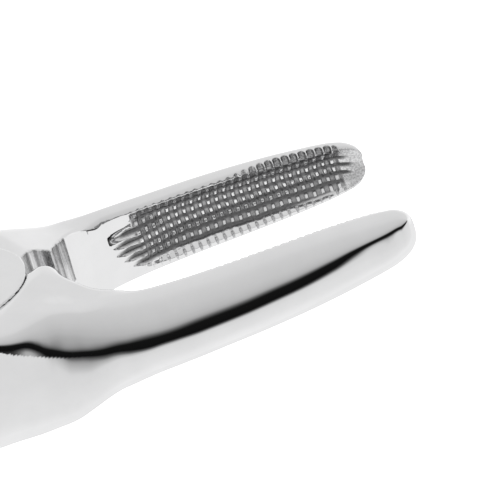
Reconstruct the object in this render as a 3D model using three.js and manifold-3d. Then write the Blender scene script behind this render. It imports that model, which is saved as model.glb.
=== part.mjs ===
// Tooth-extraction forceps, English pattern: two crossing forged halves that
// turn on one screw. Millimetres, +Z up along the pivot axis, +X towards the
// beaks. The origin is on the pivot axis, on the flat back of the joint.
// The two halves are the same forging: the rear half is the front half turned
// 180 degrees about the long axis (X) at mid-thickness.
import * as THREE from 'three';
import { mergeVertices } from 'three/addons/utils/BufferGeometryUtils.js';
import Module from 'manifold-3d';

// ---------------------------------------------------------------- dimensions
const HALF_T = 5.8;            // half thickness of the joint
const DISC_R = 7.05;           // round plate of each half at the pivot
const SHOULDER_GAP = 0.22;     // radial running gap between plate and shoulder
const FACE_GAP = 0.1;          // each plate stands this far off the mid plane
const TIP_X = 37.9;            // beak tips, as drawn in the tables below
const TIP_FRONT = 38.45;       // the two beaks are ground to slightly different
const TIP_REAR = 37.75;        // lengths: each is stretched to its own from here:
const STRETCH_FROM = 20;
const OPEN_HALF = 7.6;         // degrees each half is turned open from closed
const SCREW_R = 2.25;          // pivot screw shank
const SCREW_FIT = 0.08;        // radial running clearance of the shank
const HEAD_R = 3.5;            // countersunk head
const HEAD_H = 1.7;
const SLOT_W = 0.9;
const SLOT_D = 0.8;
const RIM_DROP = 0.85;         // inner rims lie this far inside the section centre
const TROUGH = 1.25;           // depth of the hollow in the beak's inner face
const SEG_ROUND = 72;

// Stations along X: half width (z), outer edge (y), section half depth, squareness
const HALF_WIDTH = [[-6, 5.8], [6.6, 5.8], [8, 5.45], [9.5, 4.85], [11, 4.3], [12.5, 3.95], [14, 3.72], [16, 3.57],
  [20, 3.4], [25, 3.28], [30, 3.085], [33, 2.85], [35, 2.62], [36.4, 2.3], [37.2, 1.85], [37.7, 1.3], [37.9, 0.9]];
const OUTER_Y = [[-6, 9.3], [-3, 9.6], [-1, 9.85], [0.5, 10.0], [3, 10.05], [5.5, 9.75], [8, 9.6], [10, 9.68], [12, 10.0],
  [14, 10.25], [16, 10.45], [18.5, 10.53], [22, 10.52], [26, 10.37], [30, 10.09], [33, 9.83], [35, 9.62], [36.4, 9.3], [37.2, 8.95], [37.7, 8.5], [37.9, 8.2]];
const DEPTH = [[-6, 4.0], [6, 3.2], [10, 2.4], [15, 1.9], [20, 1.87], [34, 1.85], [36.4, 1.65], [37.2, 1.4], [37.9, 0.8]];
const SQUARE = [[-6, 4.2], [4, 3.8], [8, 3.0], [12, 2.3], [15, 2.0], [38, 2.0]];

// Plan outlines (x, y) at the pivot end of the upper beak
// bridge layer: the recess that receives the other half's nose, then the throat
const RECESS = [[6.7, 0.6], [7.12, 1.25], [7.95, 2.3], [8.8, 2.45], [9.76, 2.2], [10.2, 3.3], [10.7, 3.95], [11.4, 4.95], [12.2, 6.0], [13.2, 6.85], [14.6, 7.4]];
// nose layer: end of the nose, then the throat
const NOSE = [[6.9, 1.15], [7.3, 0.78], [7.7, 0.48], [8.2, 0.34], [8.8, 0.34], [9.4, 0.7], [9.72, 1.4], [9.86, 2.5], [10.2, 3.3], [10.7, 4.05], [11.4, 5.0], [12.2, 6.02], [13.2, 6.87], [14.6, 7.4]];
const BRIDGE_END_X = -1.0;     // bridge layer stops here, next to the other handle
const HANDLE_START_X = -1.35;
const SHOULDER_END = 112;      // degrees: nose layer's shoulder stops here

// Handle, drawn with the forceps closed: x, y of its centre line
const HANDLE_PATH = [[-1, -5.0], [-5, -5.6], [-9, -7.2], [-14, -9.2], [-22, -11.4], [-34, -12.9], [-50, -13.5], [-70, -13.1], [-90, -12.1], [-110, -10.8], [-125, -9.7], [-137.2, -8.8]];
const HANDLE_HALF_Y = [[-1, 4.6], [-5, 4.2], [-9, 3.7], [-14, 3.3], [-22, 2.95], [-34, 2.75], [-60, 2.7], [-110, 2.75], [-128, 2.7], [-133, 2.45], [-135.4, 1.8], [-136.6, 1.0], [-137.2, 0.4]];
const HANDLE_HALF_Z = [[-1, 5.8], [-8, 5.75], [-14, 5.3], [-22, 4.75], [-34, 4.4], [-50, 4.4], [-90, 4.75], [-120, 5.0], [-128, 4.9], [-132, 4.45], [-134.6, 3.6], [-136.4, 2.3], [-137.2, 1.1]];

// ------------------------------------------------------------------- helpers
const wasm = await Module();
wasm.setup();

function curve(table) {
  // monotone cubic through the table's points
  const p = [...table].sort((a, b) => a[0] - b[0]);
  const n = p.length, d = [], m = new Array(n);
  for (let i = 0; i < n - 1; i++) d.push((p[i + 1][1] - p[i][1]) / (p[i + 1][0] - p[i][0]));
  m[0] = d[0]; m[n - 1] = d[n - 2];
  for (let i = 1; i < n - 1; i++) m[i] = d[i - 1] * d[i] <= 0 ? 0 : 2 * d[i - 1] * d[i] / (d[i - 1] + d[i]);
  return (x) => {
    if (x <= p[0][0]) return p[0][1];
    if (x >= p[n - 1][0]) return p[n - 1][1];
    let i = 0;
    while (x > p[i + 1][0]) i++;
    const h = p[i + 1][0] - p[i][0], t = (x - p[i][0]) / h;
    const t2 = t * t, t3 = t2 * t;
    return (2 * t3 - 3 * t2 + 1) * p[i][1] + (t3 - 2 * t2 + t) * h * m[i] + (3 * t2 - 2 * t3) * p[i + 1][1] + (t3 - t2) * h * m[i + 1];
  };
}

function toSolid(geometry) {
  const g = geometry.index ? geometry.clone() : geometry;
  g.deleteAttribute('normal');
  g.deleteAttribute('uv');
  const merged = mergeVertices(g, 1e-4);
  return new wasm.Manifold(new wasm.Mesh({
    numProp: 3,
    vertProperties: new Float32Array(merged.attributes.position.array),
    triVerts: new Uint32Array(merged.index.array),
  }));
}

function toGeometry(solid) {
  const mesh = solid.getMesh();
  const geometry = new THREE.BufferGeometry();
  geometry.setAttribute('position', new THREE.BufferAttribute(new Float32Array(mesh.vertProperties), 3));
  geometry.setIndex(new THREE.BufferAttribute(new Uint32Array(mesh.triVerts), 1));
  geometry.computeVertexNormals();
  return geometry;
}

// Closed body through rings of points, one ring per station: a cylinder whose
// rows are moved onto the rings.
function loft(rings) {
  const k = rings[0].length, rows = rings.length;
  const g = new THREE.CylinderGeometry(1, 1, 1, k, rows - 1, false);
  g.deleteAttribute('normal');
  g.deleteAttribute('uv');
  const merged = mergeVertices(g, 1e-5);
  const pos = merged.attributes.position;
  for (let i = 0; i < pos.count; i++) {
    const x = pos.getX(i), y = pos.getY(i), z = pos.getZ(i);
    const row = Math.round((0.5 - y) * (rows - 1));
    if (Math.hypot(x, z) < 1e-6) {
      const c = new THREE.Vector3();
      for (const q of rings[row]) c.add(q);
      c.multiplyScalar(1 / k);
      pos.setXYZ(i, c.x, c.y, c.z);
    } else {
      let a = Math.atan2(x, z);
      if (a < -1e-6) a += 2 * Math.PI;
      const q = rings[row][Math.round(a / (2 * Math.PI) * k) % k];
      pos.setXYZ(i, q.x, q.y, q.z);
    }
  }
  let solid = toSolid(merged);
  if (solid.volume() < 0) {
    const ix = merged.index.array;
    for (let i = 0; i < ix.length; i += 3) { const t = ix[i]; ix[i] = ix[i + 1]; ix[i + 1] = t; }
    solid = toSolid(merged);
  }
  return solid;
}

// Prism with a plan outline, between two heights
function prism(points, z0, z1) {
  const shape = new THREE.Shape(points.map(([x, y]) => new THREE.Vector2(x, y)));
  const g = new THREE.ExtrudeGeometry(shape, { depth: z1 - z0, bevelEnabled: false });
  g.translate(0, 0, z0);
  return toSolid(g);
}

function drum(r0, r1, z0, z1, segments = SEG_ROUND) {
  const g = new THREE.CylinderGeometry(r1, r0, z1 - z0, segments);
  g.rotateX(Math.PI / 2);
  g.translate(0, 0, (z0 + z1) / 2);
  return toSolid(g);
}

// --------------------------------------------------------------- beak and root
const halfWidth = curve(HALF_WIDTH), outerY = curve(OUTER_Y), depth = curve(DEPTH), square = curve(SQUARE);
const smooth = (a, b, x) => { const t = Math.min(1, Math.max(0, (x - a) / (b - a))); return t * t * (3 - 2 * t); };

function beakRing(x, nOut, nIn) {
  const b = halfWidth(x), yo = outerY(x), a = depth(x), n = square(x);
  const yc = yo - a;
  const hollow = smooth(13, 19, x) * (1 - smooth(35.2, 37.2, x));
  const root = 1 - smooth(11, 15, x);                 // 1 in the joint, 0 in the beak
  const drop = RIM_DROP * (1 - root) * Math.min(1, a / 1.7);
  const yi = (yc - drop) * (1 - root) + (-0.5) * root; // inner plane of the section
  const ring = [];
  // outer side: from the +Z rim over the outer crown to the -Z rim
  const f = Math.min(0.95, drop / a);
  const phi0 = -Math.asin(Math.pow(f, 1)) * (1 - root);
  for (let i = 0; i < nOut; i++) {
    const u = i / (nOut - 1);
    const phi = phi0 + (Math.PI - 2 * phi0) * u;
    const c = Math.cos(phi), s = Math.sin(phi);
    let y = yc + a * Math.sign(s) * Math.pow(Math.abs(s), 2 / n);
    let z = b * Math.sign(c) * Math.pow(Math.abs(c), 2 / n);
    if (i === 0 || i === nOut - 1) y = yi;
    ring.push(new THREE.Vector3(x, y, z));
  }
  const zr = ring[0].z;
  for (let i = 1; i <= nIn; i++) {
    const v = -1 + 2 * i / (nIn + 1);                 // -1..1 across the inner face
    const z = v * zr;
    const w = Math.min(1, Math.abs(v) / 0.86);
    const y = yi + TROUGH * hollow * (1 - w * w);
    ring.push(new THREE.Vector3(x, y, z));
  }
  return ring;
}

function stretched(ring, tip) {
  for (const q of ring) if (q.x > STRETCH_FROM) q.x = STRETCH_FROM + (q.x - STRETCH_FROM) * (tip - STRETCH_FROM) / (TIP_X - STRETCH_FROM);
  return ring;
}

const beakStations = [-5, -3, -1, 1, 3, 5, 6.6, 7.3, 8, 8.8, 9.5, 10.3, 11, 11.8, 12.6, 13.4, 14.2, 15, 16, 17.5, 19, 21, 23, 25, 27, 29, 31, 33, 34.5, 35.6, 36.4, 36.9, 37.3, 37.6, 37.8, TIP_X];
const beakBody = (tip) => loft(beakStations.map((x) => stretched(beakRing(x, 19, 9), tip)));

// --------------------------------------------------------------------- handle
const open = THREE.MathUtils.degToRad(OPEN_HALF);
const turned = HANDLE_PATH.map(([x, y]) => [x * Math.cos(open) - y * Math.sin(open), x * Math.sin(open) + y * Math.cos(open)]);
const centreY = curve(turned);
const handleHalfY = curve(HANDLE_HALF_Y), handleHalfZ = curve(HANDLE_HALF_Z);
const handleEndX = turned[turned.length - 1][0];

function handleRing(x, k) {
  const path = x / Math.cos(open);
  const hy = handleHalfY(Math.max(path, -137.2)), hz = handleHalfZ(Math.max(path, -137.2));
  let yo = centreY(x) - hy, yi = centreY(x) + hy;
  yi = Math.min(yi, -(Math.abs(x) * Math.tan(open + 0.016) + 0.35));
  if (x > -5) yi = Math.min(yi, -0.8);
  const cy = (yo + yi) / 2, h = (yi - yo) / 2;
  const n = 2.6 + 1.4 * smooth(-16, -4, x);
  const ring = [];
  for (let i = 0; i < k; i++) {
    const phi = 2 * Math.PI * i / k;
    const c = Math.cos(phi), s = Math.sin(phi);
    ring.push(new THREE.Vector3(x, cy + h * Math.sign(s) * Math.pow(Math.abs(s), 2 / n), hz * Math.sign(c) * Math.pow(Math.abs(c), 2 / n)));
  }
  return ring;
}
const handleStations = [HANDLE_START_X, -3, -4.5, -6, -7.5, -9, -11, -13, -16, -20, -25, -31, -38, -46, -55, -65, -75, -85, -95, -105, -114, -121, -126, -129.5, -131.6, -133, -133.9, -134.4];
const lastX = handleEndX;
const handle = loft(handleStations.filter((x) => x > lastX + 0.2).concat([lastX]).map((x) => handleRing(x, 24)));

// ------------------------------------------------------------ cuts and joining
const TOP = HALF_T + 3;
const rad = (deg) => THREE.MathUtils.degToRad(deg);
const ray = (deg, r) => [r * Math.cos(rad(deg)), r * Math.sin(rad(deg))];

// upper beak: bridge layer (z > 0) and nose layer (z < 0)
const recessCut = prism([[5.0, 0.6], ...RECESS, [14.6, -14], [5.0, -14]], -FACE_GAP, TOP);
const noseCut = prism([[5.0, 1.15], ...NOSE, [14.6, -14], [5.0, -14]], -TOP, FACE_GAP);
const bridgeEndCut = prism([[BRIDGE_END_X, -12], [BRIDGE_END_X, 14], [-8, 14], [-8, -12]], -FACE_GAP, TOP);
const shoulderEndCut = prism([ray(SHOULDER_END, 0.5), ray(SHOULDER_END, 20), [-20, 20], [-20, -3], [0.2, -3]], -TOP, FACE_GAP);
const platePocket = drum(DISC_R + SHOULDER_GAP, DISC_R + SHOULDER_GAP, -TOP, FACE_GAP);
const upper = (tip) => beakBody(tip).subtract(recessCut).subtract(noseCut).subtract(bridgeEndCut).subtract(shoulderEndCut).subtract(platePocket);

// handle: full thickness outside the plates; in the front layer it starts at
// the end of the other half's shoulder
const s1 = -(SHOULDER_END + 1.6);
const handleFrontCut = prism([ray(s1, 0.5), ray(s1, 20), [3, -20], [3, -0.2]], -FACE_GAP, TOP);
const lower = handle.subtract(handleFrontCut).subtract(platePocket);

const plate = drum(DISC_R, DISC_R, FACE_GAP, HALF_T);
const half = (tip) => upper(tip).add(lower).add(plate);

// screw: countersunk head at the front, flush end at the back
const bore = drum(SCREW_R + SCREW_FIT, SCREW_R + SCREW_FIT, -TOP, TOP, 48);
const sink = drum(SCREW_R + SCREW_FIT, HEAD_R + SCREW_FIT + 0.02, HALF_T - HEAD_H, HALF_T + 0.01, 48);
const frontHalf = half(TIP_FRONT).subtract(bore).subtract(sink);
const rearHalf = half(TIP_REAR).rotate([180, 0, 0]).subtract(bore);

let screw = drum(SCREW_R, SCREW_R, -HALF_T, HALF_T - HEAD_H + 0.02, 48).add(drum(SCREW_R, HEAD_R, HALF_T - HEAD_H, HALF_T - 0.05, 48));
const slotBox = new THREE.BoxGeometry(3 * HEAD_R, SLOT_W, 2 * SLOT_D);
slotBox.rotateZ(rad(35));
slotBox.translate(0, 0, HALF_T);
screw = screw.subtract(toSolid(slotBox));

// ------------------------------------------------------------------- assembly
const steel = () => new THREE.MeshStandardMaterial({ color: 0xc9ccd0, roughness: 0.12, metalness: 1.0 });
const forceps = new THREE.Group();
function addPart(name, solid) {
  const mesh = new THREE.Mesh(toGeometry(solid), steel());
  mesh.name = name;
  mesh.position.set(0, 0, HALF_T);
  forceps.add(mesh);
}
addPart('rear_half', rearHalf);
addPart('front_half', frontHalf);
addPart('pivot_screw', screw);

export default forceps;
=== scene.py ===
# Tooth-extraction forceps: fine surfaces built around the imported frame.
# Each half is one forging. Its surface is worked out from the same stations and
# plan outlines as the CAD solid, with the cut teeth, machined pockets and
# knurled grips added as real geometry.
import math
import bpy
import numpy as np
from mathutils import Vector, Matrix


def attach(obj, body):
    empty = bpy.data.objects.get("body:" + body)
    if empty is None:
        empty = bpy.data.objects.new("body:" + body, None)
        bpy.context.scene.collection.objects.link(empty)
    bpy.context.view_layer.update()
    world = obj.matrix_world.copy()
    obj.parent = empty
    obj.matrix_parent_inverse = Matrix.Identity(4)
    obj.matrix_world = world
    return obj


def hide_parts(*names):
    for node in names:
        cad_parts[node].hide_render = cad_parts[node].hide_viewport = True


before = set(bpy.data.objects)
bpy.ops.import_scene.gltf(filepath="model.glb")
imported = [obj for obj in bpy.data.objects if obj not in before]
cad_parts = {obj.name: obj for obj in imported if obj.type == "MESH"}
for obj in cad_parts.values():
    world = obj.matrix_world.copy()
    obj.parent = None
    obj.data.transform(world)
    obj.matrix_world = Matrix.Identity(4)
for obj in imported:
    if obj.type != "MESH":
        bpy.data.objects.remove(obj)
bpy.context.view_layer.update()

MM = 0.001
HALF_T = 5.8

# ------------------------------------------------------------------ dimensions
DISC_R = 7.05
SHOULDER_GAP = 0.07
FACE_GAP = 0.03
TIP_X, TIP_FRONT, TIP_REAR, STRETCH_FROM = 37.9, 38.45, 37.75, 20.0
OPEN_HALF = math.radians(7.6)
SCREW_R, HEAD_R, HEAD_H = 2.25, 3.5, 1.7
RIM_DROP, TROUGH = 0.85, 1.25
BRIDGE_END_X, HANDLE_START_X, SHOULDER_END = -1.0, -1.35, 112.0

HALF_WIDTH = [[-6, 5.8], [6.6, 5.8], [8, 5.45], [9.5, 4.85], [11, 4.3], [12.5, 3.95], [14, 3.72], [16, 3.57],
              [20, 3.4], [25, 3.28], [30, 3.085], [33, 2.85], [35, 2.62], [36.4, 2.3], [37.2, 1.85], [37.7, 1.3], [37.9, 0.9]]
OUTER_Y = [[-6, 9.3], [-3, 9.6], [-1, 9.85], [0.5, 10.0], [3, 10.05], [5.5, 9.75], [8, 9.6], [10, 9.68], [12, 10.0],
           [14, 10.25], [16, 10.45], [18.5, 10.53], [22, 10.52], [26, 10.37], [30, 10.09], [33, 9.83], [35, 9.62], [36.4, 9.3], [37.2, 8.95], [37.7, 8.5], [37.9, 8.2]]
DEPTH = [[-6, 4.0], [6, 3.2], [10, 2.4], [15, 1.9], [20, 1.87], [34, 1.85], [36.4, 1.65], [37.2, 1.4], [37.9, 0.8]]
SQUARE = [[-6, 4.2], [4, 3.8], [8, 3.0], [12, 2.3], [15, 2.0], [38, 2.0]]
RIDGE_Z = [[-6, -4.6], [1.2, -4.4], [2.7, -3.5], [4.2, -2.6], [5.5, -1.9], [9.2, -0.4], [13, 0.0], [38, 0.1]]
LEAN = [[-6, 0.09], [2, 0.09], [5, 0.06], [9, 0.0], [38, 0.0]]
CREST_Z = [[-6, -5.3], [1.5, -4.95], [4, -3.75], [5, -2.979], [6, -2.254], [7, -1.579], [8.5, -0.856], [10, -0.454], [12, -0.251], [14, -0.11], [16, -0.088], [18, -0.102], [21, -0.143], [24, -0.255], [27, -0.375], [30, -0.603], [32, -0.789], [34, -0.922], [35.5, -1.089], [36.5, -1.193], [38, -1.193]]
CREST_TILT = [[-6, 0.0], [2, 0.0], [4, 0.012], [5, 0.045], [6, 0.077], [7, 0.078], [8.5, 0.047], [10, 0.043], [12, 0.036], [14, 0.042], [16, 0.041], [18, 0.038], [21, 0.029], [24, 0.006], [27, -0.023], [30, -0.086], [32, -0.167], [34, -0.252], [35.5, -0.279], [36.5, -0.299], [38, -0.299]]
CREST_TURN = [[-6, 0.0], [2, 0.0], [4, 0.03], [5, 0.055], [6, 0.066], [7, 0.075], [8.5, 0.082], [10, 0.068], [12, 0.027], [14, -0.022], [16, -0.031], [18, -0.049], [21, -0.05], [24, -0.05], [27, -0.05], [30, -0.05], [32, -0.05], [34, -0.05], [35.5, -0.05], [36.5, -0.01], [38, -0.01]]
THROAT = [[9.76, 2.2], [10.2, 3.3], [10.7, 4.05], [11.4, 5.0]]
FLARE = [[11.4, 5.0], [12.2, 5.75], [13.2, 6.55], [14.2, 7.2], [15.2, 7.64]]
RECESS = [[6.7, 0.6], [7.12, 1.25], [7.95, 2.3], [8.4, 2.42], [8.8, 2.45], [9.3, 2.38], [9.76, 2.2]]
NOSE = [[6.9, 1.15], [7.3, 0.78], [7.7, 0.48], [8.2, 0.34], [8.8, 0.34], [9.4, 0.7], [9.72, 1.4], [9.86, 2.5]] + THROAT[1:]
HANDLE_PATH = [[-1, -5.0], [-5, -5.6], [-9, -7.2], [-14, -9.2], [-22, -11.4], [-34, -12.9], [-50, -13.5], [-70, -13.1], [-90, -12.1], [-110, -10.8], [-125, -9.7], [-137.2, -8.8]]
HANDLE_HALF_Y = [[-1, 4.6], [-5, 4.2], [-9, 3.7], [-14, 3.3], [-22, 2.95], [-34, 2.75], [-60, 2.7], [-110, 2.75], [-128, 2.7], [-133, 2.45], [-135.4, 1.8], [-136.6, 1.0], [-137.2, 0.4]]
HANDLE_HALF_Z = [[-1, 5.8], [-8, 5.75], [-14, 5.3], [-22, 4.75], [-34, 4.4], [-50, 4.4], [-90, 4.75], [-120, 5.0], [-128, 4.9], [-132, 4.45], [-134.6, 3.6], [-136.4, 2.3], [-137.2, 1.1]]

# teeth inside the beaks
ROW_Z = [1.69, 0.955, 0.2, -0.55, -1.24, -1.93]          # lengthwise grooves
ROW_START = [17.3, 15.75, 15.45, 15.45, 16.0, 16.6]
ROW_END = [35.9, 37.2, 37.6, 37.4, 36.6, 35.6]
ROW_R, ROW_D = 0.18, 0.18
CROSS_PITCH, CROSS_R, CROSS_D = 0.72, 0.24, 0.25
CROSS_X0, CROSS_X1 = 17.75, 36.3

# grips
GRIP_X0, GRIP_X1 = -126.5, -46.0
KNURL_PITCH, KNURL_D = 1.25, 0.26


def curve(table):
    """Monotone cubic through the table's points."""
    p = np.array(sorted(table), float)
    X, Y = p[:, 0], p[:, 1]
    h = np.diff(X)
    d = np.diff(Y) / h
    m = np.zeros(len(X))
    m[0], m[-1] = d[0], d[-1]
    prod = d[:-1] * d[1:]
    with np.errstate(divide="ignore", invalid="ignore"):
        m[1:-1] = np.where(prod <= 0, 0, 2 * prod / (d[:-1] + d[1:]))

    def f(x):
        x = np.clip(np.asarray(x, float), X[0], X[-1])
        i = np.clip(np.searchsorted(X, x, side="right") - 1, 0, len(h) - 1)
        t = (x - X[i]) / h[i]
        t2, t3 = t * t, t * t * t
        return ((2 * t3 - 3 * t2 + 1) * Y[i] + (t3 - 2 * t2 + t) * h[i] * m[i]
                + (3 * t2 - 2 * t3) * Y[i + 1] + (t3 - t2) * h[i] * m[i + 1])
    return f


def smooth(a, b, x):
    t = np.clip((x - a) / (b - a), 0, 1)
    return t * t * (3 - 2 * t)


def smax(a, b, r):
    """Largest of two distances, with a round edge of radius about r."""
    h = np.maximum(r - np.abs(a - b), 0) / r
    return np.maximum(a, b) + h * h * r * 0.25


def smin(a, b, r):
    return -smax(-a, -b, r)


crest_z, crest_tilt, crest_turn = curve(CREST_Z), curve(CREST_TILT), curve(CREST_TURN)
half_width, outer_y, depth, square = curve(HALF_WIDTH), curve(OUTER_Y), curve(DEPTH), curve(SQUARE)
ridge_z, lean = curve(RIDGE_Z), curve(LEAN)
co, so = math.cos(OPEN_HALF), math.sin(OPEN_HALF)
TURNED = [[x * co - y * so, x * so + y * co] for x, y in HANDLE_PATH]
centre_y, handle_hy, handle_hz = curve(TURNED), curve(HANDLE_HALF_Y), curve(HANDLE_HALF_Z)
HANDLE_END = TURNED[-1][0]


def handle_section(x):
    path = np.maximum(np.asarray(x, float) / co, -137.2)
    hy, hz = handle_hy(path), handle_hz(path)
    yo, yi = centre_y(x) - hy, centre_y(x) + hy
    yi = np.minimum(yi, -(np.abs(x) * math.tan(OPEN_HALF + 0.016) + 0.35))
    yi = np.where(np.asarray(x) > -5, np.minimum(yi, -0.8), yi)
    n = 2.6 + 1.4 * smooth(-16, -4, np.asarray(x, float))
    return (yo + yi) / 2, (yi - yo) / 2, hz, n


def densify(points, step=0.05):
    """Smooth curve through plan points (centripetal Catmull-Rom)."""
    P = np.array(points, float)
    P = np.vstack([2 * P[0] - P[1], P, 2 * P[-1] - P[-2]])
    out = []
    for i in range(1, len(P) - 2):
        p0, p1, p2, p3 = P[i - 1], P[i], P[i + 1], P[i + 2]
        t0 = 0.0
        t1 = t0 + max(1e-4, np.linalg.norm(p1 - p0)) ** 0.5
        t2 = t1 + max(1e-4, np.linalg.norm(p2 - p1)) ** 0.5
        t3 = t2 + max(1e-4, np.linalg.norm(p3 - p2)) ** 0.5
        n = max(2, int(np.linalg.norm(p2 - p1) / step))
        for t in np.linspace(t1, t2, n, endpoint=False):
            A1 = (t1 - t) / (t1 - t0) * p0 + (t - t0) / (t1 - t0) * p1
            A2 = (t2 - t) / (t2 - t1) * p1 + (t - t1) / (t2 - t1) * p2
            A3 = (t3 - t) / (t3 - t2) * p2 + (t - t2) / (t3 - t2) * p3
            B1 = (t2 - t) / (t2 - t0) * A1 + (t - t0) / (t2 - t0) * A2
            B2 = (t3 - t) / (t3 - t1) * A2 + (t - t1) / (t3 - t1) * A3
            out.append((t2 - t) / (t2 - t1) * B1 + (t - t1) / (t2 - t1) * B2)
    out.append(P[-2])
    return np.array(out)


RECESS_LINE = np.vstack([densify(RECESS[:3]), densify(RECESS[2:])[1:], densify(THROAT)[1:], densify(FLARE)[1:]])
NOSE_LINE = np.vstack([densify(NOSE), densify(FLARE)[1:]])


def below_line(x, y, line):
    """Signed distance in plan to the removed side (below and right of the line):
    positive where the metal is cut away."""
    xl = np.concatenate([[line[0, 0] - 6, line[0, 0] - 0.001], line[:, 0]])
    yl = np.concatenate([[-3.0, line[0, 1]], line[:, 1]])
    A = np.stack([xl[:-1], yl[:-1]], 1)
    B = np.stack([xl[1:], yl[1:]], 1)
    best = np.full(x.shape, 1e9)
    xf, yf = x, y
    for a, b in zip(A[1:], B[1:]):
        d = b - a
        L = d @ d + 1e-12
        t = np.clip(((xf - a[0]) * d[0] + (yf - a[1]) * d[1]) / L, 0, 1)
        best = np.minimum(best, (xf - a[0] - t * d[0]) ** 2 + (yf - a[1] - t * d[1]) ** 2)
    dist = np.sqrt(best)
    # inside test: vertical ray to the line's height at this x
    order_x = np.maximum.accumulate(line[:, 0])
    ycut = np.interp(x, order_x, line[:, 1])
    inside = (y < ycut) & (x > line[0, 0] - 1.7)
    return np.where(inside, dist, -dist)


_plan_cache = {}


def plan(x, y, key):
    """Plan-only distances for an (x, y) array, worked out on a fine lookup grid once."""
    if "grid" not in _plan_cache:
        gx = np.arange(4.0, 15.01, 0.04)
        gy = np.arange(-3.0, 11.01, 0.04)
        GX, GY = np.meshgrid(gx, gy, indexing="ij")
        _plan_cache["grid"] = (below_line(GX, GY, RECESS_LINE), below_line(GX, GY, NOSE_LINE))
    g = _plan_cache["grid"][0 if key == "recess" else 1]
    u = np.clip((x - 4.0) / 0.04, 0, g.shape[0] - 1.001)
    v = np.clip((y + 3.0) / 0.04, 0, g.shape[1] - 1.001)
    i, j = u.astype(int), v.astype(int)
    fu, fv = u - i, v - j
    return (g[i, j] * (1 - fu) * (1 - fv) + g[i + 1, j] * fu * (1 - fv)
            + g[i, j + 1] * (1 - fu) * fv + g[i + 1, j + 1] * fu * fv)


INNER_LINE = np.vstack([densify([[9.3, -0.5], [9.85, 1.0], [10.25, 2.9], [10.7, 3.95], [11.4, 5.0]]), densify(FLARE)[1:]])


def inner_y(x):
    return np.interp(x, INNER_LINE[:, 0], INNER_LINE[:, 1])


def inner_slope(x):
    return (inner_y(x + 0.03) - inner_y(x - 0.03)) / 0.06 * (x < 15.0)


def beak_frame(x, tip):
    xs = np.where(x > STRETCH_FROM, STRETCH_FROM + (x - STRETCH_FROM) * (TIP_X - STRETCH_FROM) / (tip - STRETCH_FROM), x)
    b, yo, a, n = half_width(xs), outer_y(xs), depth(xs), square(xs)
    yc = yo - a
    root = 1 - smooth(11, 15, xs)
    drop = RIM_DROP * (1 - root) * np.minimum(1, a / 1.7)
    yi = inner_y(x)
    yi = np.where(x > 15.2, yc - drop, yi)
    zr = b * np.sqrt(np.maximum(0.1, 1 - (drop / a) ** 2))
    return xs, b, yo, a, n, yc, root, drop, yi, zr


def hollow_at(xs, z):
    far = smooth(0.3, 1.9, z)
    near_h, far_h = smooth(16.2, 23.0, xs), smooth(14.2, 19.8, xs)
    return (near_h + (far_h - near_h) * far) * (1 - 0.75 * smooth(34.5, 37.6, xs))


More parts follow.
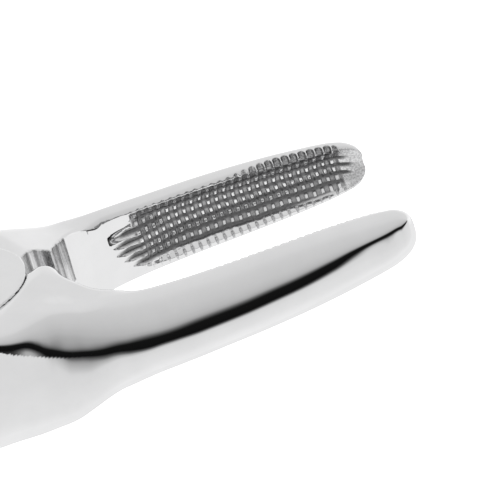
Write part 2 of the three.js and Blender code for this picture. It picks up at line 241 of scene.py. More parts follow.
def half_distance(x, y, z, tip, teeth=True):
    """Distance-like function of one half (upper beak, z up from mid thickness):
    below zero in the metal. x, y, z broadcast together."""
    xs, b, yo, a, n, yc, root, drop, yi, zr = beak_frame(x, tip)
    hollow = hollow_at(xs, z)
    # ---- outer form
    v = y - yc
    v = np.where(v < 0, v * (1 - root), v)
    rz, le = ridge_z(xs), lean(xs)
    zz = z - rz
    v = v + le * np.maximum(zz, 0) - le * 4.0
    # the polished ridge: a local tilt and turn about the line CREST_Z
    reach = 1.6 - 0.75 * smooth(28.0, 34.0, xs)
    dz = np.tanh((z - crest_z(xs)) / reach) * reach
    v = v - crest_tilt(xs) * dz + crest_turn(xs) * (np.sqrt(dz * dz + 0.25) - 0.5)
    zs = np.where(zz > 0, zz * b / (b - rz), zz * b / (b + rz))
    rr = ((np.abs(v) / a) ** n + (np.abs(zs) / b) ** n) ** (1 / n)
    outer = (rr - 1) * np.minimum(a, b)
    outer = smax(outer, xs - TIP_X, 0.35)
    # faces slope away from the flat joint face beyond a soft crease
    qf = (x - 7.85) * 0.954 + (y - 2.5) * 0.298
    qb = (x - 8.04) * 0.767 + (y - 2.3) * 0.641
    k = 0.22
    sf = 0.5 * (qf + np.sqrt(qf * qf + k * k))
    sb = 0.5 * (qb + np.sqrt(qb * qb + k * k))
    fade = smooth(9.0, 14.0, xs)
    least = b - 0.5 * (1 - fade) + 0.4 * fade
    strip = 0.20 * 0.5 * (np.sqrt(qb * qb + k * k) - qb) * smooth(-1, 2, xs)   # edge rolled towards the plate
    top = z - smax(HALF_T - 0.36 * sf, least, 0.4)
    bottom = -z - smax(HALF_T - 0.36 * sb - np.minimum(strip, 0.28), least, 0.4)
    outer = smax(outer, np.maximum(top, bottom), 0.25 + 0.30 * smooth(0.6, 2.4, np.abs(z)) * smooth(13.0, 9.0, x))
    # ---- inner face: the hollow between the rims
    w = np.minimum(1, np.abs(z) / (0.88 * zr))
    base = yi + TROUGH * hollow * (1 - w ** 2.2)
    inner = (base - y) / np.sqrt(1 + inner_slope(x) ** 2)
    upper = smax(outer, inner, 0.28)
    if teeth:
        eta = y - base
        env_cross = smooth(CROSS_X0 - 0.6, CROSS_X0 + 0.6, xs) * (1 - smooth(CROSS_X1 - 0.9, CROSS_X1, xs))
        cut = np.full(np.broadcast(x, y, z).shape, -1.0)
        wob = 0.03 * np.sin(xs * 1.3) + 0.02 * np.sin(xs * 3.7 + 1)
        for zk, x0, x1 in zip(ROW_Z, ROW_START, ROW_END):
            d = ROW_D * np.clip((xs - x0) / 1.3, -0.3, 1) * (1 - smooth(x1 - 1.6, x1 + 0.2, xs) * 1.25)
            rk = ROW_R + 0.26 * (1 - smooth(x0 + 1.2, x0 + 3.2, xs))      # wide, shallow run-in
            ax = eta + (rk - d)
            c = rk - np.sqrt((z - zk - wob) ** 2 + ax * ax)
            cut = smax(cut, c, 0.05)
        # cross cuts over the pad, and notches through both rims, deeper nearer the tip
        ph = (xs - CROSS_X0) / CROSS_PITCH + 0.06 * np.sin(z * 2.1)
        ph = (ph - np.round(ph)) * CROSS_PITCH
        rim = smooth(0.74, 0.86, np.abs(z) / zr)
        far_rim = 0.08 * env_cross + 0.42 * smooth(25.5, 31.0, xs)
        rim_cut = np.where(z > 0, far_rim, 0.0) * (1 - smooth(35.4, 36.3, xs))
        low = smooth(-1.95, -2.3, z)
        dc = CROSS_D * env_cross * (1 - 0.85 * low) * (1 - rim) + rim * rim_cut - 0.03
        rc = CROSS_R + 0.06 * rim
        axc = eta + (rc - dc)
        cc = rc - np.sqrt(ph * ph + axc * axc)
        # file-cut notches across the near rim
        file_d, file_w = (0.20, 0.17) if tip > 38 else (0.62, 0.28)
        vee = (0.15 * env_cross + file_d * smooth(18.5, 22.5, xs)) * (1 - smooth(35.6, 36.8, xs)) * smooth(0.70, 0.86, -z / zr)
        cv = ((vee - 0.02) * (1 - np.abs(ph) / file_w) - eta) * 0.30 - 0.3 * (vee < 0.03)
        cut = smax(cut, cv, 0.04)
        cut = smax(cut, cc, 0.06)
        upper = smax(upper, cut, 0.05)
    # ---- pivot end of the beak: recess in front, nose behind
    cr = plan(x, y, "recess")
    cn = plan(x, y, "nose")
    far = smooth(13.6, 14.6, x)
    cr = cr * (1 - far) - 3 * far
    cn = cn * (1 - far) - 3 * far
    front = np.minimum(cr, z + FACE_GAP)
    back = np.minimum(cn, FACE_GAP - z)
    rad = 0.12 + 0.9 * smooth(0.5, -2.5, z) * (1 - smooth(11.8, 14.2, x))
    upper = smax(upper, back, rad)
    upper = smax(upper, front, 0.10)
    # ---- ends of the bridge and of the shoulder, next to the other half's handle
    upper = smax(upper, np.minimum(BRIDGE_END_X - x, z + FACE_GAP), 0.15)
    ang = math.radians(SHOULDER_END)
    side = -(x * math.sin(ang) - y * math.cos(ang))
    upper = smax(upper, np.minimum(side, FACE_GAP - z), 0.15)
    # ---- pocket for the other half's plate
    r = np.sqrt(x * x + y * y)
    pocket = np.minimum(DISC_R + SHOULDER_GAP - r, FACE_GAP - z)
    upper = smax(upper, pocket, 0.05)
    # ---- handle root
    cy, h, hz, nh = handle_section(x)
    hr = ((np.abs(y - cy) / h) ** nh + (np.abs(z) / hz) ** nh) ** (1 / nh)
    low = (hr - 1) * np.minimum(h, hz)
    low = smax(low, x - HANDLE_START_X, 0.12)
    s1 = math.radians(-(SHOULDER_END + 0.7))
    side1 = -(x * math.sin(s1) - y * math.cos(s1))     # positive to the right of the ray
    low = smax(low, np.minimum(side1, z + FACE_GAP), 0.12)
    low = smax(low, pocket, 0.05)
    # ---- plate
    plate = smax(r - DISC_R, np.maximum(FACE_GAP - z, z - HALF_T), 0.05)
    f = smin(upper, low, 0.05)
    f = smin(f, plate, 0.12)
    # ---- the screw hole (countersunk on the front half; the rear half is bored) is cut in forging()
    return f


def forging(x, y, z, tip, front, teeth=True):
    """One half with its screw hole, in its own frame."""
    f = half_distance(x, y, z, tip, teeth)
    r = np.sqrt(x * x + y * y)
    f = smax(f, (SCREW_R + 0.03) - r, 0.05)
    if front:
        cone = (SCREW_R + 0.03 + (HEAD_R - SCREW_R) * (z - (HALF_T - HEAD_H)) / HEAD_H) - r
        f = smax(f, cone * 0.8, 0.04)
    return f


def surface_net(f, origin, step):
    """Quads on the zero surface of a grid of values, one vertex per mixed cell."""
    inside = f < 0
    nx, ny, nz = f.shape
    cs = (nx - 1, ny - 1, nz - 1)
    count = np.zeros(cs, np.int8)
    for a in (0, 1):
        for b in (0, 1):
            for c in (0, 1):
                count += inside[a:nx - 1 + a, b:ny - 1 + b, c:nz - 1 + c]
    active = (count > 0) & (count < 8)
    ids = np.full(cs, -1, np.int64)
    cells = np.argwhere(active)
    ids[active] = np.arange(len(cells))
    acc = np.zeros((len(cells), 3))
    num = np.zeros(len(cells))
    I, J, K = cells.T
    for axis in range(3):
        for u in (0, 1):
            for v in (0, 1):
                o = [0, 0, 0]
                others = [q for q in range(3) if q != axis]
                o[others[0]], o[others[1]] = u, v
                e = list(o)
                e[axis] = 1
                f0 = f[I + o[0], J + o[1], K + o[2]]
                f1 = f[I + e[0], J + e[1], K + e[2]]
                m = (f0 < 0) != (f1 < 0)
                t = f0[m] / (f0[m] - f1[m])
                p = np.stack([np.full(m.sum(), float(q)) for q in o], 1)
                p[:, axis] = t
                acc[m] += p
                num[m] += 1
    pos = (cells + acc / num[:, None]) * step + origin
    quads = []
    for axis in range(3):
        sl0 = [slice(None)] * 3
        sl1 = [slice(None)] * 3
        sl0[axis], sl1[axis] = slice(0, -1), slice(1, None)
        s0, s1 = inside[tuple(sl0)], inside[tuple(sl1)]
        m = s0 != s1
        others = [q for q in range(3) if q != axis]
        for q in others:
            k = [slice(None)] * 3
            k[q] = 0
            m[tuple(k)] = False
            k[q] = -1
            m[tuple(k)] = False
        e = np.argwhere(m)
        if not len(e):
            continue
        b, c = others
        def cid(db, dc):
            q = e.copy()
            q[:, b] += db
            q[:, c] += dc
            return ids[q[:, 0], q[:, 1], q[:, 2]]
        quad = np.stack([cid(-1, -1), cid(0, -1), cid(0, 0), cid(-1, 0)], 1)
        flip = s0[m]      # metal on the low side: the face looks up the axis
        if axis == 1:
            flip = ~flip
        quad[~flip] = quad[~flip][:, ::-1]
        quads.append(quad)
    return pos, np.concatenate(quads)


def gradient(fn, p, eps=0.012):
    g = np.zeros_like(p)
    for a in range(3):
        d = np.zeros(3)
        d[a] = eps
        g[:, a] = (fn(*(p + d).T) - fn(*(p - d).T)) / (2 * eps)
    return g


def project(fn, p, step, rounds=3):
    for _ in range(rounds):
        v = fn(*p.T)
        g = gradient(fn, p)
        g2 = np.maximum((g * g).sum(1), 0.05)
        move = -(v / g2)[:, None] * g
        L = np.linalg.norm(move, axis=1)
        lim = 0.45 * step
        move *= np.minimum(1, lim / np.maximum(L, 1e-9))[:, None]
        p = p + move
    n = gradient(fn, p)
    n /= np.maximum(np.linalg.norm(n, axis=1), 1e-9)[:, None]
    return p, n


def mesh_region(fn, lo, hi, step):
    n = [int(round((h - l) / step)) + 1 for l, h in zip(lo, hi)]
    ax = [lo[i] + step * np.arange(n[i]) for i in range(3)]
    f = np.empty(n, np.float32)
    slab = max(1, int(400000 / (n[1] * n[2])))
    for i in range(0, n[0], slab):
        f[i:i + slab] = fn(ax[0][i:i + slab, None, None], ax[1][None, :, None], ax[2][None, None, :])
    p, q = surface_net(f, np.array(lo, float), step)
    p, nor = project(fn, p, step)
    return p, nor, q


def loops(quads):
    """Open boundary loops of a quad mesh, as ordered vertex lists."""
    e = np.concatenate([quads[:, [0, 1]], quads[:, [1, 2]], quads[:, [2, 3]], quads[:, [3, 0]]])
    key = np.sort(e, axis=1)
    _, first, cnt = np.unique(key, axis=0, return_index=True, return_counts=True)
    b = e[first[cnt == 1]]
    nxt = {}
    for u, v in b:
        nxt.setdefault(int(u), []).append(int(v))
    out = []
    while nxt:
        start = next(iter(nxt))
        loop = [start]
        cur = start
        while True:
            choices = nxt.get(cur)
            if not choices:
                break
            v = choices.pop()
            if not choices:
                del nxt[cur]
            if v == start:
                break
            loop.append(v)
            cur = v
        out.append(loop)
    return out


def zipper(P, la, lb, cy):
    """Triangles between two rings that run round the X axis near (cy, 0)."""
    def ordered(l):
        l = np.array(l)
        a = np.arctan2(P[l, 2], P[l, 1] - cy)
        k = np.argsort(a)
        return l[k], a[k]
    A, aa = ordered(la)
    B, ab = ordered(lb)
    tris = []
    i = j = 0
    na, nb = len(A), len(B)
    while i < na or j < nb:
        ta = aa[i] if i < na else 1e9
        tb = ab[j] if j < nb else 1e9
        # advance the ring whose next vertex comes first
        na_next = aa[(i + 1) % na] + (2 * math.pi if i + 1 >= na else 0) if i < na else 1e9
        nb_next = ab[(j + 1) % nb] + (2 * math.pi if j + 1 >= nb else 0) if j < nb else 1e9
        if na_next <= nb_next and i < na:
            tris.append((A[i % na], A[(i + 1) % na], B[j % nb]))
            i += 1
        else:
            tris.append((B[j % nb], A[i % na], B[(j + 1) % nb]))
            j += 1
    tris = np.array(tris)
    c = P[tris].mean(1)
    nrm = np.cross(P[tris[:, 1]] - P[tris[:, 0]], P[tris[:, 2]] - P[tris[:, 0]])
    out = nrm[:, 1] * (c[:, 1] - cy) + nrm[:, 2] * c[:, 2]
    if out.sum() < 0:
        tris = tris[:, ::-1]
    return tris


def knurl(s, t):
    """Depth of the diamond cuts on a grip: s along the handle, t across it."""
    a = math.radians(32)
    u = (s * math.sin(a) + t * math.cos(a)) / KNURL_PITCH
    v = (s * math.sin(a) - t * math.cos(a)) / KNURL_PITCH
    gu = np.abs(u - np.round(u)) * 2
    gv = np.abs(v - np.round(v)) * 2
    cu = np.clip(1 - gu / 0.62, 0, 1)
    cv = np.clip(1 - gv / 0.62, 0, 1)
    return np.maximum(cu, cv)


def handle_mesh(x_start):
    M = 150
    xs = [x_start]
    while xs[-1] > HANDLE_END + 0.02:
        x = xs[-1]
        s = 0.23 if GRIP_X0 * co - 1.5 < x < GRIP_X1 * co + 1.5 else 0.7
        left = x - HANDLE_END
        if left < 9:
            s = max(0.04, min(s, 0.05 + left * 0.075))
        xs.append(max(x - s, HANDLE_END))
    xs = np.array(xs)
    rings, grips = [], []
    phi = np.linspace(0, 2 * math.pi, 721)[:-1]
    c, s_ = np.cos(phi), np.sin(phi)
    for x in xs:
        cy, h, hz, n = [float(q) for q in handle_section(x)]
        y = cy + h * np.sign(s_) * np.abs(s_) ** (2 / n)
        z = hz * np.sign(c) * np.abs(c) ** (2 / n)
        d = np.hypot(np.diff(np.append(y, y[0])), np.diff(np.append(z, z[0])))
        L = np.concatenate([[0], np.cumsum(d)])
        q = np.linspace(0, L[-1], M, endpoint=False)
        yy = np.interp(q, L, np.append(y, y[0]))
        zz = np.interp(q, L, np.append(z, z[0]))
        rings.append(np.stack([np.full(M, x), yy, zz], 1))
    R = np.array(rings)
    # smooth normals of the plain form
    def normals(R):
        du = np.gradient(R, axis=0)
        dv = np.roll(R, -1, 1) - np.roll(R, 1, 1)
        n = np.cross(du, dv)
        n /= np.maximum(np.linalg.norm(n, axis=2, keepdims=True), 1e-9)
        cen = R.mean(1, keepdims=True)
        sign = np.sign(((R - cen) * n).sum(2, keepdims=True).sum())
        return n * sign
    N = normals(R)
    # grip panel on the outer face (towards -y), framed by a smooth border
    cy = np.array([[float(handle_section(x)[0])] for x in xs])
    hz = np.array([[float(handle_section(x)[2])] for x in xs])
    path = R[:, :, 0] / co
    outer_side = smooth(0.30, 0.62, -N[:, :, 1])
    ends = smooth(GRIP_X0, GRIP_X0 + 1.6, path) * (1 - smooth(GRIP_X1 - 1.6, GRIP_X1, path))
    z_limit = 1 - smooth(0.80, 0.90, np.abs(R[:, :, 2]) / hz)
    area = outer_side * ends * z_limit
    depth_ = KNURL_D * knurl(path, R[:, :, 2]) * area
    R2 = R - N * depth_[:, :, None]
    N2 = normals(R2)
    blend_ = np.clip(area[:, :, None] * 1.0, 0, 1)
    nn = N * (1 - blend_) + N2 * blend_
    nn /= np.linalg.norm(nn, axis=2, keepdims=True)
    P = R2.reshape(-1, 3)
    Nn = nn.reshape(-1, 3)
    k = len(xs)
    i = np.arange(k - 1)[:, None] * M
    j = np.arange(M)[None, :]
    q = np.stack([i + j, i + (j + 1) % M, i + M + (j + 1) % M, i + M + j], 2).reshape(-1, 4)
    # orientation
    a, b, c_, d_ = P[q[:, 0]], P[q[:, 1]], P[q[:, 2]], P[q[:, 3]]
    fn = np.cross(c_ - a, d_ - b)
    if (fn * Nn[q[:, 0]]).sum() < 0:
        q = q[:, ::-1]
    end = P[-M:].mean(0) + np.array([-0.05, 0, 0])
    P = np.vstack([P, end])
    Nn = np.vstack([Nn, [-1, 0, 0]])
    last = (k - 1) * M
    fan = np.stack([last + np.arange(M), last + (np.arange(M) + 1) % M, np.full(M, len(P) - 1)], 1)
    fn = np.cross(P[fan[:, 1]] - P[fan[:, 0]], P[fan[:, 2]] - P[fan[:, 0]])
    if fn[:, 0].sum() > 0:
        fan = fan[:, ::-1]
    return P, Nn, q, fan, np.arange(M), area.reshape(-1)


def open_pinches(P, N, quads, tris, marks):
    """Where two sheets of the surface touch along an edge, give each its own vertices."""
    faces = [list(map(int, q)) for q in quads] + [list(map(int, q)) for q in tris]
    for _ in range(3):
        use = {}
        for i, f in enumerate(faces):
            for a, b in zip(f, f[1:] + f[:1]):
                use.setdefault((a, b) if a < b else (b, a), []).append(i)
        over = {k for k, v in use.items() if len(v) > 2}
        if not over:
            break
        pinched = {v for k in over for v in k}
        around = {v: set() for v in pinched}
        for i, f in enumerate(faces):
            for v in f:
                if v in pinched:
                    around[v].add(i)
        extra = []
        was = [list(f) for f in faces]
        parted = set()
        for v in sorted(pinched):
            if any(v in k and (k[0] in parted or k[1] in parted) for k in over):
                continue
            left = set(around[v])
            groups = []
            while left:
                stack, g = [min(left)], set()
                while stack:
                    i = stack.pop()
                    if i not in left:
                        continue
                    left.discard(i)
                    g.add(i)
                    f = was[i]
                    for a, b in zip(f, f[1:] + f[:1]):
                        k = (a, b) if a < b else (b, a)
                        if v in k and len(use[k]) == 2:
                            stack += [j for j in use[k] if j in left]
                groups.append(g)
            odd = any(len(g.intersection(use[k])) % 2 for k in over if v in k for g in groups)
            if len(groups) < 2 or odd:
                continue
            parted.add(v)
            here = P[v].copy()
            for gi, g in enumerate(groups):
                mid = np.mean([P[u] for i in g for u in was[i]], axis=0)
                spot = here + 0.15 * (mid - here)
                if gi == 0:
                    P[v] = spot
                    continue
                new = len(P) + len(extra)
                extra.append((v, spot))
                for i in g:
                    faces[i] = [new if u0 == v else u for u, u0 in zip(faces[i], was[i])]
        if not extra:
            break
        src = [v for v, _s in extra]
        P = np.vstack([P, np.array([s_ for _v, s_ in extra])])
        N = np.vstack([N, N[src]])
        marks = {k: np.concatenate([m, m[src]]) for k, m in marks.items()}
    quads = np.array([f for f in faces if len(f) == 4])
    tris = np.array([f for f in faces if len(f) == 3])
    return P, N, quads, tris, marks


def build_half(tip, front):
    fn = lambda x, y, z: forging(x, y, z, tip, front)
    s1, s2 = ((0.15, 0.09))
    split, start = 13.0, -14.0
    x1a = split - s1 * math.floor((split - start) / s1)
    P1, N1, Q1 = mesh_region(fn, (x1a, -15.4, -6.1), (split, 12.1, 6.1), s1)
    P2, N2, Q2 = mesh_region(fn, (split + 0.02, 5.2, -4.4), (tip + 0.4, 11.4, 4.4), s2)
    P3, N3, Q3, F3, first, area = handle_mesh(x1a - 0.05)
    P = np.vstack([P1, P2, P3])
    N = np.vstack([N1, N2, N3])
    o2, o3 = len(P1), len(P1) + len(P2)
    l1 = loops(Q1)
    l2 = loops(Q2)
    right = [l for l in l1 if P1[l][:, 0].mean() > 5]
    left = [l for l in l1 if P1[l][:, 0].mean() < 0]
    right = max(right, key=len)
    left = max(left, key=len)
    beak = max(l2, key=len)
    za = zipper(P, right, [v + o2 for v in beak], float(P1[right][:, 1].mean()))
    zb = zipper(P, left, [v + o3 for v in first], float(P1[left][:, 1].mean()))
    quads = np.vstack([Q1, Q2 + o2, Q3 + o3])
    tris = np.vstack([za, zb, F3 + o3])
    # where the surface is satin: cut teeth, blasted tip, milled pocket, grips; and where shade is painted into the
    # colour: tooth grooves and the throat wall
    satin = np.zeros(len(P))
    grain = np.zeros(len(P))
    p = P[o2:o3]
    xs, b, yo, a, n, yc, root, drop, yi, zr = beak_frame(p[:, 0], tip)
    plain = half_distance(p[:, 0], p[:, 1], p[:, 2], tip, teeth=False)
    inner_face = (N[o2:o3, 1] < 0.35) & (np.abs(p[:, 2]) < zr * 1.0) & (p[:, 1] < yc + 0.6)
    satin[o2:o3] = smooth(0.01, 0.09, -plain)
    # painted shade: a mask that darkens the base colour in the cut teeth, most in the lengthwise grooves and less
    # at the near rim
    painted_shade = np.zeros(len(P))
    # painted shade: the steep throat wall facing down, which would reflect bright, is painted dark
    wall = smooth(-0.45, -0.62, N[o2:o3, 2]) * smooth(1.2, 1.9, p[:, 2]) * (N[o2:o3, 1] < 0.2)
    wall = wall * (1 - smooth(17.5, 20.5, xs)) * smooth(13.5, 15.5, xs)
    deep = smooth(0.04, 0.14, -plain)
    wob = 0.03 * np.sin(xs * 1.3) + 0.02 * np.sin(xs * 3.7 + 1)
    groove = np.zeros(len(p))
    for zk in ROW_Z:
        groove = np.maximum(groove, 1 - smooth(0.10, 0.24, np.abs(p[:, 2] - zk - wob)))
    rim_near = smooth(0.72, 0.80, -p[:, 2] / zr)
    painted_shade[o2:o3] = np.maximum(deep * (0.45 + 0.55 * groove) * (1 - 0.85 * rim_near), 0.85 * wall)
    satin[o2:o3] *= 1 - 0.7 * rim_near
    grain[o2:o3] = smooth(35.2, 36.8, xs) * inner_face
    p = P[:o2]
    rr = np.hypot(p[:, 0], p[:, 1])
    flat = 1 - smooth(0.35, 0.75, np.abs(N[:o2, 2]))
    mill = (plan(p[:, 0], p[:, 1], "recess") > -0.16) & (p[:, 0] > 6.3) & (p[:, 0] < 11.35) & (p[:, 2] > 0) & (p[:, 1] > 0.3) & (rr > DISC_R)
    grain_mill = mill * flat
    satin[o3:o3 + len(area)] = area * 0.6
    marks = {"satin": satin, "grain": grain, "painted_shade": painted_shade, "mill": np.concatenate([grain_mill, np.zeros(len(P) - o2)])}
    return open_pinches(P, N, quads, tris, marks)


def make_object(name, data, flip):
    P, N, quads, tris, masks = data
    P = P.copy()
    N = N.copy()
    if flip:
        P[:, 1:] *= -1
        N[:, 1:] *= -1
    P[:, 2] += HALF_T
    P *= MM
    mesh = bpy.data.meshes.new(name)
    nq, nt = len(quads), len(tris)
    mesh.vertices.add(len(P))
    mesh.vertices.foreach_set("co", P.astype(np.float32).ravel())
    mesh.loops.add(nq * 4 + nt * 3)
    mesh.loops.foreach_set("vertex_index", np.concatenate([quads.ravel(), tris.ravel()]).astype(np.int32))
    mesh.polygons.add(nq + nt)
    starts = np.concatenate([np.arange(nq) * 4, nq * 4 + np.arange(nt) * 3]).astype(np.int32)
    mesh.polygons.foreach_set("loop_start", starts)
    mesh.update(calc_edges=True)
    mesh.validate()
    for key, val in masks.items():
        at = mesh.attributes.new(key, "FLOAT", "POINT")
        at.data.foreach_set("value", val.astype(np.float32))
    mesh.polygons.foreach_set("use_smooth", np.ones(len(mesh.polygons), bool))
    mesh.normals_split_custom_set_from_vertices(N.astype(np.float32))
    o = bpy.data.objects.new(name, mesh)
    bpy.context.scene.collection.objects.link(o)
    return o


# -------------------------------------------------------------------- materials
def node(tree, kind, **kw):
    n = tree.nodes.new(kind)
    for k, v in kw.items():
        if k in n.inputs:
            n.inputs[k].default_value = v
        else:
            setattr(n, k, v)
    return n


def math_node(tree, op, a, b=None, clamp=False):
    n = tree.nodes.new("ShaderNodeMath")
    n.operation = op
    n.use_clamp = clamp
    for i, v in enumerate((a, b)):
        if v is None:
            continue
        if isinstance(v, (int, float)):
            n.inputs[i].default_value = v
        else:
            tree.links.new(v, n.inputs[i])
    return n.outputs[0]


def steel(name):
    """Mirror-polished stainless steel; satin in the cut teeth and on the grips,
    grained at the blasted tip, and milled across the pocket wall; the base colour carries painted shade in the cut
    teeth and on the throat wall."""
    m = bpy.data.materials.new(name)
    m.use_nodes = True
    t = m.node_tree
    bsdf = t.nodes["Principled BSDF"]
    bsdf.inputs["Metallic"].default_value = 1.0
    L = t.links.new
    co_ = node(t, "ShaderNodeTexCoord").outputs["Object"]
    at = {k: node(t, "ShaderNodeAttribute", attribute_name=k).outputs["Fac"] for k in ("satin", "grain", "mill", "painted_shade")}

    def noise(scale, detail=3.0, rough=0.55, vec=co_):
        n = node(t, "ShaderNodeTexNoise", Scale=scale, Detail=detail, Roughness=rough)
        L(vec, n.inputs["Vector"])
        return n.outputs["Fac"]
    # colour: neutral steel with painted shade: a little darker over the satin cuts and grips, much darker in the
    # tooth grooves and on the throat wall
    ramp = node(t, "ShaderNodeMix", data_type="RGBA")
    ramp.inputs["A"].default_value = (0.86, 0.86, 0.865, 1)
    ramp.inputs["B"].default_value = (0.13, 0.13, 0.132, 1)
    L(math_node(t, "ADD", math_node(t, "MULTIPLY", at["satin"], 0.35), math_node(t, "MULTIPLY", at["painted_shade"], 0.6), clamp=True), ramp.inputs["Factor"])
    tint = node(t, "ShaderNodeMix", data_type="RGBA", blend_type="MULTIPLY")
    tint.inputs["Factor"].default_value = 1.0
    L(ramp.outputs["Result"], tint.inputs["A"])
    cr = node(t, "ShaderNodeValToRGB")
    cr.color_ramp.elements[0].position = 0.3
    cr.color_ramp.elements[0].color = (0.965, 0.965, 0.965, 1)
    cr.color_ramp.elements[1].position = 0.7
    cr.color_ramp.elements[1].color = (1, 1, 1, 1)
    L(noise(420.0), cr.inputs["Fac"])
    L(cr.outputs["Color"], tint.inputs["B"])
    gr = node(t, "ShaderNodeValToRGB")
    gr.color_ramp.elements[0].position = 0.36
    gr.color_ramp.elements[0].color = (0.52, 0.52, 0.52, 1)
    gr.color_ramp.elements[1].position = 0.60
    gr.color_ramp.elements[1].color = (1.0, 1.0, 1.0, 1)
    L(noise(6500.0, 2.0), gr.inputs["Fac"])
    speck = node(t, "ShaderNodeMix", data_type="RGBA", blend_type="MULTIPLY")
    L(math_node(t, "MAXIMUM", math_node(t, "MULTIPLY", at["grain"], 0.8), math_node(t, "MULTIPLY", at["satin"], 0.45)), speck.inputs["Factor"])
    L(ramp.outputs["Result"], speck.inputs["A"])
    L(gr.outputs["Color"], speck.inputs["B"])
    L(speck.outputs["Result"], tint.inputs["A"])
    stretch = node(t, "ShaderNodeMapping")
    stretch.inputs["Scale"].default_value = (1.0, 1.0, 0.02)
    L(co_, stretch.inputs["Vector"])
    streak = node(t, "ShaderNodeMix", data_type="RGBA", blend_type="MULTIPLY")
    L(at["mill"], streak.inputs["Factor"])
    L(tint.outputs["Result"], streak.inputs["A"])
    sr = node(t, "ShaderNodeValToRGB")
    sr.color_ramp.elements[0].position = 0.38
    sr.color_ramp.elements[0].color = (0.42, 0.42, 0.42, 1)
    sr.color_ramp.elements[1].position = 0.60
    sr.color_ramp.elements[1].color = (1, 1, 1, 1)
    L(noise(1500.0, 3.0, 0.6, stretch.outputs["Vector"]), sr.inputs["Fac"])
    L(sr.outputs["Color"], streak.inputs["B"])
    L(streak.outputs["Result"], bsdf.inputs["Base Color"])
    # roughness
    fine = math_node(t, "MULTIPLY", noise(900.0), 0.03)
    r = math_node(t, "ADD", fine, 0.02)
    r = math_node(t, "ADD", r, math_node(t, "MULTIPLY", at["satin"], 0.16))
    r = math_node(t, "ADD", r, math_node(t, "MULTIPLY", at["grain"], 0.34))
    r = math_node(t, "ADD", r, math_node(t, "MULTIPLY", at["mill"], 0.10))
    L(r, bsdf.inputs["Roughness"])
    # bump: faint polishing waves, grain in the satin parts, lines on the milled wall
    waves = math_node(t, "MULTIPLY", noise(260.0, 2.0), 0.02)
    g1 = math_node(t, "MULTIPLY", math_node(t, "MULTIPLY", noise(9000.0, 2.0), at["satin"]), 0.5)
    g2 = math_node(t, "MULTIPLY", math_node(t, "MULTIPLY", noise(5200.0, 3.0), at["grain"]), 2.2)
    g3 = math_node(t, "MULTIPLY", math_node(t, "MULTIPLY", noise(4200.0, 3.0, 0.7, stretch.outputs["Vector"]), at["mill"]), 1.6)
    h = math_node(t, "ADD", math_node(t, "ADD", waves, g1), math_node(t, "ADD", g2, g3))
    bump = node(t, "ShaderNodeBump")
    bump.inputs["Distance"].default_value = 0.00005
    bump.inputs["Strength"].default_value = 0.6
    L(h, bump.inputs["Height"])
    L(bump.outputs["Normal"], bsdf.inputs["Normal"])
    return m


STEEL = steel("polished_steel")

front_obj = make_object("front_half_forged", build_half(TIP_FRONT, True), False)
rear_obj = make_object("rear_half_forged", build_half(TIP_REAR, False), True)
for o, n, body in ((front_obj, "front_half", "front"), (rear_obj, "rear_half", "rear")):
    o.data.materials.append(STEEL)
    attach(o, body)
    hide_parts(n)


# ------------------------------------------------------------------------ screw
def screw_material():
    m = bpy.data.materials.new("screw_steel")
    m.use_nodes = True
    t = m.node_tree
    bsdf = t.nodes["Principled BSDF"]
    bsdf.inputs["Metallic"].default_value = 1.0
    L = t.links.new
    co_ = node(t, "ShaderNodeTexCoord").outputs["Object"]
    sep = node(t, "ShaderNodeSeparateXYZ")
    L(co_, sep.inputs[0])
    rad = math_node(t, "SQRT", math_node(t, "ADD", math_node(t, "MULTIPLY", sep.outputs[0], sep.outputs[0]), math_node(t, "MULTIPLY", sep.outputs[1], sep.outputs[1])))
    ring = node(t, "ShaderNodeCombineXYZ")
    L(rad, ring.inputs[0])
    n = node(t, "ShaderNodeTexNoise", Scale=9000.0, Detail=2.0)
    L(ring.outputs[0], n.inputs["Vector"])
    cr = node(t, "ShaderNodeValToRGB")
    cr.color_ramp.elements[0].color = (0.66, 0.66, 0.67, 1)
    cr.color_ramp.elements[1].color = (0.80, 0.80, 0.81, 1)
    L(n.outputs["Fac"], cr.inputs["Fac"])
    L(cr.outputs["Color"], bsdf.inputs["Base Color"])
    L(math_node(t, "ADD", math_node(t, "MULTIPLY", n.outputs["Fac"], 0.12), 0.10), bsdf.inputs["Roughness"])
    b = node(t, "ShaderNodeBump")
    b.inputs["Distance"].default_value = 0.00001
    b.inputs["Strength"].default_value = 0.5
    L(n.outputs["Fac"], b.inputs["Height"])
    L(b.outputs["Normal"], bsdf.inputs["Normal"])
    return m


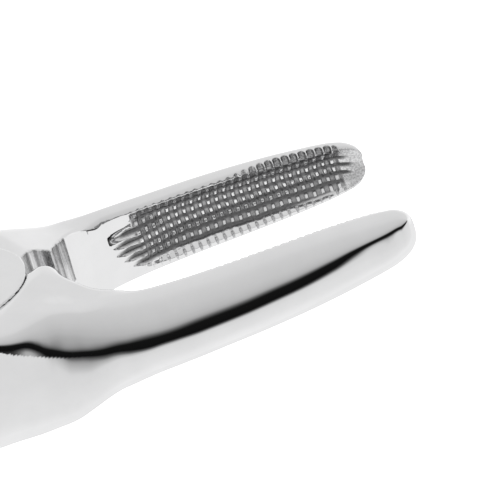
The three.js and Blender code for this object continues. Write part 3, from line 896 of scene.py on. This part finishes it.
def screw_shape():
    """Countersunk screw head with a round-bottomed slot, shank and flush end."""
    import bmesh
    a = math.radians(35)
    half_w, slot_d = 0.45, 0.8
    top = HALF_T - 0.05
    bm = bmesh.new()
    # profile: flush end, shank, cone, domed head edge
    prof = [(0.0, -HALF_T), (SCREW_R - 0.2, -HALF_T), (SCREW_R - 0.06, -HALF_T + 0.03), (SCREW_R, -HALF_T + 0.15), (SCREW_R, HALF_T - HEAD_H),
            (HEAD_R - 0.10, top - 0.16), (HEAD_R - 0.04, top - 0.08), (HEAD_R - 0.05, top - 0.03), (HEAD_R - 0.15, top), (0.0, top)]
    seg = 96
    rows = []
    for r, z in prof:
        if r == 0.0:
            rows.append([bm.verts.new((0, 0, z))])
        else:
            rows.append([bm.verts.new((r * math.cos(2 * math.pi * k / seg), r * math.sin(2 * math.pi * k / seg), z)) for k in range(seg)])
    for u, v in zip(rows[:-1], rows[1:]):
        for k in range(seg):
            k2 = (k + 1) % seg
            if len(u) == 1:
                bm.faces.new((u[0], v[k2], v[k]))
            elif len(v) == 1:
                bm.faces.new((u[k], u[k2], v[0]))
            else:
                bm.faces.new((u[k], u[k2], v[k2], v[k]))
    mesh = bpy.data.meshes.new("pivot_screw_turned")
    bm.to_mesh(mesh)
    bm.free()
    body = bpy.data.objects.new("pivot_screw_turned", mesh)
    bpy.context.scene.collection.objects.link(body)
    # slot cutter
    bm = bmesh.new()
    n = 10
    sec = [(-half_w, 1.0), (-half_w, -slot_d + 0.12), (-half_w + 0.035, -slot_d + 0.035), (-half_w + 0.12, -slot_d),
           (half_w - 0.12, -slot_d), (half_w - 0.035, -slot_d + 0.035), (half_w, -slot_d + 0.12), (half_w, 1.0)]
    ends = []
    for s in (-6.0, 6.0):
        ends.append([bm.verts.new((s * math.cos(a) - w * math.sin(a), s * math.sin(a) + w * math.cos(a), top + z)) for w, z in sec])
    for k in range(len(sec)):
        k2 = (k + 1) % len(sec)
        bm.faces.new((ends[0][k], ends[0][k2], ends[1][k2], ends[1][k]))
    bm.faces.new(ends[0][::-1])
    bm.faces.new(ends[1])
    bmesh.ops.recalc_face_normals(bm, faces=bm.faces)
    cm = bpy.data.meshes.new("slot")
    bm.to_mesh(cm)
    bm.free()
    cutter = bpy.data.objects.new("slot", cm)
    bpy.context.scene.collection.objects.link(cutter)
    mod = body.modifiers.new("slot", "BOOLEAN")
    mod.operation = "DIFFERENCE"
    mod.object = cutter
    mod.solver = "EXACT"
    dg = bpy.context.evaluated_depsgraph_get()
    new = bpy.data.meshes.new_from_object(body.evaluated_get(dg))
    body.modifiers.clear()
    body.data = new
    bpy.data.objects.remove(cutter)
    body.data.transform(Matrix.Scale(MM, 4) @ Matrix.Translation((0, 0, HALF_T)))
    return body


screw = screw_shape()
screw.data.materials.clear()
screw.data.materials.append(screw_material())
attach(screw, "rear")
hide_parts("pivot_screw")

# ------------------------------------------------------------------------ stage
fm = bpy.data.materials.new("floor_white")
fm.use_nodes = True
t = fm.node_tree
b = t.nodes["Principled BSDF"]
b.inputs["Base Color"].default_value = (0.9, 0.9, 0.9, 1)
b.inputs["Roughness"].default_value = 0.9
b.inputs["Emission Color"].default_value = (1, 1, 1, 1)
b.inputs["Emission Strength"].default_value = 0.98
bpy.ops.mesh.primitive_plane_add(size=6.0, location=(0, 0, -0.0004))
floor = bpy.context.object
floor.name = "studio_floor"
floor.data.materials.append(fm)
floor.visible_glossy = False
floor.visible_diffuse = False

# the white board the instrument lies on, seen only in its own reflections
bm_ = bpy.data.meshes.new("board")
bm_.from_pydata([(-0.018, -0.0098, -0.0003), (0.060, -0.0098, -0.0003), (0.060, 0.0098, -0.0003), (-0.018, 0.0098, -0.0003)], [], [(0, 1, 2, 3)])
board = bpy.data.objects.new("studio_board", bm_)
bpy.context.scene.collection.objects.link(board)
wm = bpy.data.materials.new("board_white")
wm.use_nodes = True
b = wm.node_tree.nodes["Principled BSDF"]
b.inputs["Base Color"].default_value = (0.0, 0.0, 0.0, 1)
b.inputs["Specular IOR Level"].default_value = 0.0
b.inputs["Roughness"].default_value = 0.9
b.inputs["Emission Color"].default_value = (1, 1, 1, 1)
b.inputs["Emission Strength"].default_value = 0.95
board.data.materials.append(wm)
board.visible_camera = False
board.visible_diffuse = False
board.visible_shadow = False

# World: an even white studio seen by its reflections: white behind the object and
# below it, softer overhead, and one dark gap low on the near side.
w = bpy.data.worlds.new("studio")
bpy.context.scene.world = w
w.use_nodes = True
t = w.node_tree
for n_ in list(t.nodes):
    t.nodes.remove(n_)
out = node(t, "ShaderNodeOutputWorld")
bg = node(t, "ShaderNodeBackground")
tc = node(t, "ShaderNodeTexCoord").outputs["Generated"]
sep = node(t, "ShaderNodeSeparateXYZ")
t.links.new(tc, sep.inputs[0])
ang = math_node(t, "ARCTAN2", math_node(t, "MULTIPLY", sep.outputs["Y"], -1.0), sep.outputs["Z"])   # 0 up, +90 deg near side, 180 down
fac = math_node(t, "ADD", math_node(t, "DIVIDE", ang, 2 * math.pi), 0.5)
ramp = node(t, "ShaderNodeValToRGB")
STOPS = [(-180, 0.99), (-130, 1.02), (-108, 1.12), (-95, 1.03), (-78, 0.92), (-62, 0.82), (-10, 0.80), (25, 0.77), (50, 0.71), (68, 0.68), (82, 0.65), (91, 0.61), (99, 0.54), (103, 0.42), (106.2, 0.15), (109, 0.008), (117, 0.006), (119.3, 0.12), (121.2, 0.5), (124, 0.79), (132, 0.84), (148, 0.88), (165, 0.96), (180, 0.99)]
els = ramp.color_ramp.elements
while len(els) > 1:
    els.remove(els[-1])
els[0].position = 0.0
els[0].color = (STOPS[0][1],) * 3 + (1,)
for d, v in STOPS[1:]:
    e = els.new((d + 180) / 360)
    e.color = (v, v, v, 1)
t.links.new(fac, ramp.inputs["Fac"])
lp = node(t, "ShaderNodeLightPath")
mix = node(t, "ShaderNodeMix", data_type="RGBA")
t.links.new(lp.outputs["Is Camera Ray"], mix.inputs["Factor"])
t.links.new(ramp.outputs["Color"], mix.inputs["A"])
mix.inputs["B"].default_value = (1, 1, 1, 1)
t.links.new(mix.outputs["Result"], bg.inputs["Color"])
t.links.new(bg.outputs[0], out.inputs[0])
bpy.context.scene.view_settings.view_transform = "Standard"

# ----------------------------------------------------------------------- camera
az, el, roll = math.radians(-10.233), math.radians(26.606), math.radians(15.822)
tow = np.array([math.sin(az) * math.cos(el), -math.cos(az) * math.cos(el), math.sin(el)])
r0 = np.cross([0, 0, 1.0], tow)
r0 /= np.linalg.norm(r0)
u0 = np.cross(tow, r0)
r1 = math.cos(roll) * r0 - math.sin(roll) * u0
u1 = math.sin(roll) * r0 + math.cos(roll) * u0
target = np.array([25.0, 0.0, HALF_T]) + r1 * (250 - 243.788) / 12.0 - u1 * (250 - 246.189) / 12.0
DIST = 261.6
cam = bpy.data.cameras.new("camera")
cam_o = bpy.data.objects.new("camera", cam)
bpy.context.scene.collection.objects.link(cam_o)
M = Matrix.Identity(4)
for i in range(3):
    M[i][0], M[i][1], M[i][2] = float(r1[i]), float(u1[i]), float(tow[i])
    M[i][3] = float((target + tow * DIST)[i] * MM)
cam_o.matrix_world = M
cam.lens = 12.0 * DIST / 500 * 36.0
cam.sensor_width = 36.0
cam.clip_start = 0.01
cam.clip_end = 20.0
bpy.context.scene.camera = cam_o
